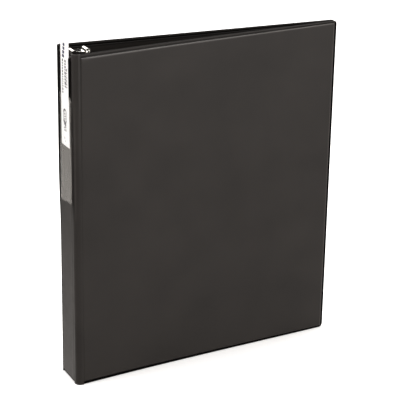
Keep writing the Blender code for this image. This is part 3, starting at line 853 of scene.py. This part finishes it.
def make_label_card():
    """A white card with a generic print of plain bars and a rounded outline."""
    low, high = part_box("label_card")
    place = spine_matrix()
    inner = place.translation.x - high.x
    outer = place.translation.x - low.x
    rect, corner = (*CARD_SPAN, low.z, high.z), 0.5 * MM
    bm = plate_bmesh(rect, (corner, corner), inner, outer, (10, 30), edge=0.06 * MM)
    card = piece_from(put(bm, place), "label_card_stock", CARD)
    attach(card, "label_card")
    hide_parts("label_card")

    def ink(name, finish, spots):
        """Flat inked bars on the card: (across, up from the card's foot, width, height), in mm."""
        bm = bmesh.new()
        for across, up, wide, tall in spots:
            cube = bmesh.ops.create_cube(bm, size=1)["verts"]
            size = Matrix.Diagonal((wide * MM, 0.02 * MM, tall * MM, 1))
            spot = Vector((across * MM, outer + 0.012 * MM, low.z + up * MM))
            bmesh.ops.transform(bm, matrix=Matrix.Translation(spot) @ size, verts=cube)
        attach(piece_from(put(bm, place), name, finish), "label_card")

    def words(across, start, end, wide):
        """Bars in a row up the card, in place of a line of text."""
        spots, up = [], start
        while up < end:
            tall = 1.6 + 1.5 * noise.noise(Vector((across * 3.1, up * 0.9, 0.5)))
            spots.append((across, up + tall / 2, wide, tall))
            up += tall + 0.8
        return spots

    def pill(across, up, wide, tall, line):
        """The outline of a rounded box, in short straight bars."""
        spots = [(across + side * wide / 2, up, line, tall - wide) for side in (-1, 1)]
        for step in range(9):
            angle = math.pi * (step + 0.5) / 9
            x, z = wide / 2 * math.cos(angle), wide / 2 * math.sin(angle) + (tall - wide) / 2
            spots += [(across + x, up + end * z, line * 1.6, line * 1.6) for end in (-1, 1)]
        return spots

    lines = words(2.2, 44.0, 71.0, 2.4) + words(-3.4, 50.0, 72.0, 3.0) + words(-6.6, 50.0, 64.0, 1.6)
    lines += pill(-1.4, 25.0, 6.0, 12.0, 0.75) + words(-0.6, 22.0, 29.0, 1.4) + words(-2.6, 22.0, 28.0, 1.0)
    lines += words(0.2, 12.5, 17.0, 1.2) + words(-2.0, 13.0, 18.0, 1.2) + words(-3.6, 12.5, 16.0, 1.0)
    lines += [(-2.0 - 0.5 * step, 19.2 - 0.8 * step, 2.4, 1.5) for step in range(-2, 3)]
    ink("label_print_grey", INK, lines)
    faint = words(-0.6, 3.0, 9.0, 0.9) + words(-2.4, 3.5, 8.0, 0.9)
    ink("label_print_faint", BLUE_INK, [spot for index, spot in enumerate(faint) if index % 2])
    band = [(0.7 - 0.5 * i, 75.4 + 3.2 * i, 4.6 - 0.2 * i, 2.5) for i in range(4)]
    ink("label_print_band", BLUE_INK, band)


# ---- ring metal


def leaf_axis(side):
    return Vector(JOINTS[side + "_leaf_pivot"]["pos_m"])


def ring_height(level):
    return mid_height(f"back_{level}_half_ring")


HOUSING_LOW, HOUSING_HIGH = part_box("ring_housing")
RING_LOW, RING_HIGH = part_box("back_middle_half_ring")
WIRE = (RING_HIGH.z - RING_LOW.z) / 2
RING_CENTRE_X = RING_HIGH.x - RING_HIGH.y
RING_RADIUS = RING_HIGH.y - WIRE


def housing_section():
    """Mid-line of the back half of the housing in plan: arch with a flattened crown, wall and curled hem."""
    steps = 16
    half = HOUSING_HIGH.y - SHEET / 2
    crown = HOUSING_HIGH.x - SHEET / 2
    base = HOUSING_LOW.x + SHEET / 2
    hem = 0.65 * MM
    shoulder = crown - 4.05 * MM
    points = []
    for step in range(steps + 1):
        angle = math.pi / 2 * step / steps
        points.append((shoulder + (crown - shoulder) * math.cos(angle), half * math.sin(angle)))
    for step in range(9):
        angle = math.pi * step / 8
        points.append((base + hem * (1 - math.sin(angle)), half - hem * (1 - math.cos(angle))))
    points.append((base + 2 * hem, half - 2 * hem))
    return points


def make_housing():
    """The arched sheet, with pressed ribs between the rings and eased edges at every notch."""
    half = housing_section()
    line = [(x, -y) for x, y in reversed(half[1:])] + half
    z_low, z_high = HOUSING_LOW.z, HOUSING_HIGH.z
    rows = 140
    bm = bmesh.new()
    grid = []
    ribs = [ring_height("middle") + offset * MM for offset in (-54, 54)]
    for row in range(rows + 1):
        z = z_low + (z_high - z_low) * row / rows
        verts = []
        for x, y in line:
            press = sum(math.exp(-(((z - rib) / (9 * MM)) ** 4)) for rib in ribs)
            press *= math.exp(-((y / (2.2 * MM)) ** 4)) if x > HOUSING_HIGH.x - 3 * MM else 0
            verts.append(bm.verts.new((x - 0.45 * MM * press, y, z)))
        grid.append(verts)
    join_rows(bm, grid)
    housing = piece_from(bm, "ring_housing_sheet", NICKEL, 30)
    thicken(housing, SHEET, 0)
    settle(housing)
    cutters = []
    leaf_x = leaf_axis("back").x
    for level in LEVELS:
        z = ring_height(level)
        for side, sign in SIDES.items():
            y0, y1 = sorted((sign * 2.6 * MM, sign * 12 * MM))
            low = (HOUSING_LOW.x + 2 * MM, y0, z - 1.7 * MM)
            high = (HOUSING_HIGH.x + 9 * MM, y1, z + 1.7 * MM)
            cutters.append(rounded_cutter(f"{side}_{level}_notch", low, high, 0.8 * MM))
    for end, sign in ENDS.items():
        z = z_high if sign > 0 else z_low
        z0, z1 = sorted((z - sign * 3.8 * MM, z + sign * 9 * MM))
        low, high = (leaf_x - 0.5 * MM, -5.7 * MM, z0), (HOUSING_HIGH.x + 9 * MM, 5.7 * MM, z1)
        cutters.append(rounded_cutter(end + "_crown_cut", low, high, 1.0 * MM))
        z = mid_height(end + "_rivet")
        past = (HOUSING_HIGH.x + 5 * MM, 0, z)
        cutters.append(round_cutter(end + "_hole", RIVET_HOLE, (leaf_x, 0, z), past))
    cut_with(housing, cutters)
    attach(housing, "spine")
    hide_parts("ring_housing")


def make_leaf(side):
    """A toggle leaf: a long plate with rounded ends and rivet notches."""
    sign = SIDES[side]
    low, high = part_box(side + "_leaf")
    inner = min(abs(low.y), abs(high.y))
    pivot = leaf_axis(side)
    run = Vector((0, sign * inner, 0)) - Vector((0, pivot.y, 0))
    rest_x = low.x if abs(low.x - pivot.x) > abs(high.x - pivot.x) else high.x
    tilt = math.atan2(rest_x + LEAF_THICK / 2 - pivot.x, abs(run.y))
    width = abs(run.y) / math.cos(tilt) - 0.05 * MM
    rect = (-0.1 * MM, width, low.z, high.z)
    half = LEAF_THICK / 2
    bm = plate_bmesh(rect, (0.3 * MM, 1.2 * MM), -half, half, cells=(10, 40), edge=0.12 * MM)
    along = Vector((math.sin(tilt), -sign * math.cos(tilt), 0))
    outwards = Vector((math.cos(tilt), sign * math.sin(tilt), 0))
    put(bm, matrix_of(along, outwards, Vector((pivot.x, pivot.y, 0))))
    leaf = piece_from(bm, side + "_leaf_plate", NICKEL)
    cutters = []
    for end in ENDS:
        z = mid_height(end + "_rivet")
        reach = (low.x - MM, 0, z), (high.x + 2 * MM, 0, z)
        cutters.append(round_cutter(end + "_notch", 3.0 * MM, *reach))
    cut_with(leaf, cutters)
    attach(leaf, side + "_leaf")
    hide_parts(side + "_leaf")


def make_half_ring(side, level):
    """Half of a round ring: smooth wire with a lapped tip, set down into its leaf at the foot."""
    sign = SIDES[side]
    z = ring_height(level)
    foot_y = 3.6 * MM
    lap = 0.9 * MM
    first = -math.asin(lap / RING_RADIUS)
    last = math.pi - math.asin(foot_y / RING_RADIUS)
    steps, sides = 90, 20
    bm = bmesh.new()
    rings = []
    for step in range(steps + 4):
        if step <= steps:
            angle = first + (last - first) * step / steps
            across = Vector((math.cos(angle), sign * math.sin(angle), 0))
            centre = Vector((RING_CENTRE_X, 0, z)) + across * RING_RADIUS
            squeeze = 1.0
        else:
            squeeze = (0.92, 0.7, 0.35)[step - steps - 1]
            tangent = Vector((-math.sin(last), sign * math.cos(last), 0))
            centre = centre + tangent * WIRE * (0.35, 0.3, 0.15)[step - steps - 1]
        ring = []
        for i in range(sides):
            turn = 2 * math.pi * i / sides
            offset = across * math.cos(turn) + Vector((0, 0, 1)) * math.sin(turn)
            ring.append(bm.verts.new(centre + offset * WIRE * squeeze))
        rings.append(ring)
    join_rows(bm, rings, closed=True)
    bm.faces.new(rings[0][::-1])
    bm.faces.new(rings[-1])
    bmesh.ops.recalc_face_normals(bm, faces=bm.faces)
    ring = piece_from(bm, f"{side}_{level}_ring_wire", RING_NICKEL)
    clear = 0.03 * MM
    z0, z1 = (z - 3 * MM, z + clear) if sign > 0 else (z - clear, z + 3 * MM)
    y0, y1 = sorted((sign * 0.95 * MM, -sign * 3 * MM))
    x0, x1 = RING_CENTRE_X + RING_RADIUS - 3 * MM, RING_CENTRE_X + RING_RADIUS + 3 * MM
    cut_with(ring, [rounded_cutter("lap", (x0, y0, z0), (x1, y1, z1), 0.02 * MM)])
    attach(ring, side + "_leaf")
    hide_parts(f"{side}_{level}_half_ring")


def make_rivet(end):
    """A turned rivet with a domed, dimpled crown."""
    low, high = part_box(end + "_rivet")
    z = (low.z + high.z) / 2
    crown, head = 3.2 * MM, (high.y - low.y) / 2
    shank = 1.75 * MM
    crown_x = high.x - 0.8 * MM
    outline = [(high.x - 0.45 * MM, 0.0), (high.x - 0.40 * MM, 0.7 * MM), (high.x - 0.1 * MM, 1.2 * MM)]
    for step in range(7):
        angle = math.pi / 2 * step / 6
        rise = 1.6 * MM + (crown - 1.6 * MM) * math.sin(angle)
        outline.append((crown_x + 0.8 * MM * math.cos(angle), rise))
    outline += [(crown_x, shank + 0.15 * MM), (crown_x - 0.15 * MM, shank)]
    outline += [(low.x + 0.75 * MM, shank), (low.x + 0.6 * MM, shank + 0.15 * MM)]
    outline += [(low.x + 0.6 * MM, head - 0.2 * MM), (low.x + 0.45 * MM, head), (low.x + 0.1 * MM, head)]
    outline += [(low.x, head - 0.15 * MM), (low.x, 0.0)]
    bm = bmesh.new()
    sides = 40
    rows = []
    for x, radius in outline:
        if radius == 0:
            rows.append([bm.verts.new((x, 0, z))] * sides)
        else:
            turns = [2 * math.pi * i / sides for i in range(sides)]
            rows.append([bm.verts.new((x, radius * math.cos(t), z + radius * math.sin(t))) for t in turns])
    join_rows(bm, rows, closed=True)
    bmesh.ops.recalc_face_normals(bm, faces=bm.faces)
    rivet = piece_from(bm, end + "_rivet_turned", STEEL)
    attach(rivet, "spine")
    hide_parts(end + "_rivet")


def arc(centre, radius, start, end, steps):
    """Points on an arc, in degrees from the first axis."""
    turns = [math.radians(start + (end - start) * step / steps) for step in range(steps + 1)]
    return [centre + radius * Vector((math.cos(turn), math.sin(turn))) for turn in turns]


def trigger_line(pivot, end):
    """Side view of a trigger: a tongue under the leaves, a hump, a saddle and a rolled tip."""
    base = pivot.x - 2.6 * MM
    points = [Vector((0.80, up)) for up in (-4.0, -2.6, -1.9, -1.65, -1.3, -0.8)]
    points += [Vector(spot) for spot in ((0.95, -0.35), (1.25, 0.0), (1.75, 0.35), (2.25, 1.0), (2.5, 2.0))]
    points += arc(Vector((4.3, 5.00)), 1.85, 180, 52, 12)
    points += [Vector(spot) for spot in ((6.5, 5.75), (7.6, 5.5), (9.4, 5.3), (12.0, 5.0), (13.9, 4.85))]
    points += arc(Vector((16.3, 5.3)), 2.0, 165, -140, 28)
    made = []
    for spot in points:
        half = 2.4 if spot.y < -1.7 else 4.4
        made.append((base + spot.x * MM, pivot.z + end * spot.y * MM, half * MM))
    return made


def make_trigger(end_name):
    """A bent and rolled sheet lever with its trunnion."""
    end = ENDS[end_name]
    pivot = Vector(JOINTS[end_name + "_trigger_pivot"]["pos_m"])
    across = 12
    bm = bmesh.new()
    rows = []
    for x, z, half in trigger_line(pivot, end):
        rows.append([bm.verts.new((x, half * (2 * i / across - 1), z)) for i in range(across + 1)])
    join_rows(bm, rows)
    trigger = piece_from(bm, end_name + "_trigger_lever", NICKEL, 50)
    thicken(trigger, 0.9 * MM, 0)
    round_edges(trigger, 0.2 * MM)
    settle(trigger)
    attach(trigger, end_name + "_trigger")
    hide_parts(end_name + "_trigger")
    pin = bmesh.new()
    thick = 0.7 * MM
    bmesh.ops.create_cone(pin, cap_ends=True, segments=28, radius1=thick, radius2=thick, depth=14.4 * MM)
    pin.transform(Matrix.Translation(pivot) @ Matrix.Rotation(math.radians(90), 4, "X"))
    trunnion = piece_from(pin, end_name + "_trigger_trunnion", STEEL)
    round_edges(trunnion, 0.15 * MM)
    settle(trunnion)
    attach(trunnion, end_name + "_trigger")


# ---- stage, light and camera


def make_stage():
    bm = bmesh.new()
    bmesh.ops.create_grid(bm, x_segments=2, y_segments=2, size=12)
    floor = object_from(bm, "floor")
    made, tree, shader = new_material("white_floor")
    set_node(tree, shader, Base_Color=(0.93, 0.93, 0.93, 1), Roughness=0.9, Specular_IOR_Level=0.1)
    floor.data.materials.append(made)
    floor.visible_glossy = False

    world = bpy.data.worlds.new("studio")
    bpy.context.scene.world = world
    world.use_nodes = True
    tree = world.node_tree
    background = tree.nodes["Background"]
    world.cycles.sampling_method = "NONE"
    background.inputs["Color"].default_value = (1.0, 0.96, 0.92, 1)
    toward = add_node(tree, "ShaderNodeTexCoord").outputs["Generated"]
    axes = add_node(tree, "ShaderNodeSeparateXYZ", Vector=toward)

    def side_glow(axis, start, end, value):
        """A value that eases in along one axis of the direction looked in."""
        return spread(tree, axes.outputs[axis], 0.0, value, start, end, interpolation_type="SMOOTHSTEP")

    def both(one, two):
        return combine(tree, "MULTIPLY", one, two)

    # A dim room with glows in front, above, on the right, low behind on the left, and high behind
    behind_left = both(side_glow("X", -0.05, -0.42, 1.0), side_glow("Y", 0.35, 0.85, 1.0))
    glows = (
        side_glow("Y", -0.25, -0.80, 0.12),
        side_glow("Z", 0.25, 0.70, 1.00),
        side_glow("X", 0.50, 0.85, 0.80),
        both(behind_left, side_glow("Z", -0.28, -0.60, 3.00)),
        both(side_glow("Y", 0.66, 0.80, 1.0), side_glow("Z", 0.31, 0.38, 3.20)),
    )
    strength = 0.03
    for glow in glows:
        strength = combine(tree, "MAXIMUM", glow, strength)
    tree.links.new(strength, background.inputs["Strength"])

    def softbox(name, spot, size, power):
        light = bpy.data.lights.new(name, "AREA")
        light.shape = "DISK"
        light.size = size
        light.energy = power
        lamp = bpy.data.objects.new(name, light)
        lamp.location = spot
        aim = Vector((0, 0, HEIGHT / 2)) - Vector(spot)
        lamp.rotation_euler = aim.to_track_quat("-Z", "Y").to_euler()
        bpy.context.scene.collection.objects.link(lamp)

    softbox("overhead", (0.0, 0.3, 2.4), 2.4, 90.0)
    softbox("left", (-1.8, 0.2, 0.9), 1.0, 13.0)
    softbox("front", (1.2, -2.4, 1.0), 1.6, 23.0)


def make_camera():
    """A long lens a little above the binder, off the spine's corner."""
    forward = Vector((0.41661, 0.83592, -0.35730)).normalized()
    right = Vector((0.89771, -0.44027, 0.01668)).normalized()
    up = right.cross(forward)
    lens = bpy.data.cameras.new("camera")
    lens.sensor_width = 36.0
    lens.lens = 141.02
    lens.clip_end = 50
    camera = bpy.data.objects.new("camera", lens)
    camera.matrix_world = Matrix((right, up, -forward)).transposed().to_4x4()
    camera.location = (-0.56605, -1.13232, 0.62862)
    bpy.context.scene.collection.objects.link(camera)
    bpy.context.scene.camera = camera
    bpy.context.scene.view_settings.view_transform = "Standard"


def build():
    make_stage()
    make_camera()
    make_spine()
    make_label_holder()
    make_label_card()
    for side in SIDES:
        near = 0.13 * (hinge_line("back", 1.0)[0] - hinge_line("back", 0.0)[0]).length
        near = max(near, 0.8 * MM)
        make_cover_film(side, "outer", near)
        make_cover_film(side, "inner", near)
        make_cover_board(side)
        make_inner_pocket(side)
        make_hinge_half(side, "spine")
        make_hinge_half(side, "cover")
        make_leaf(side)
        for level in LEVELS:
            make_half_ring(side, level)
    make_housing()
    for end in ENDS:
        make_rivet(end)
        make_trigger(end)


build()
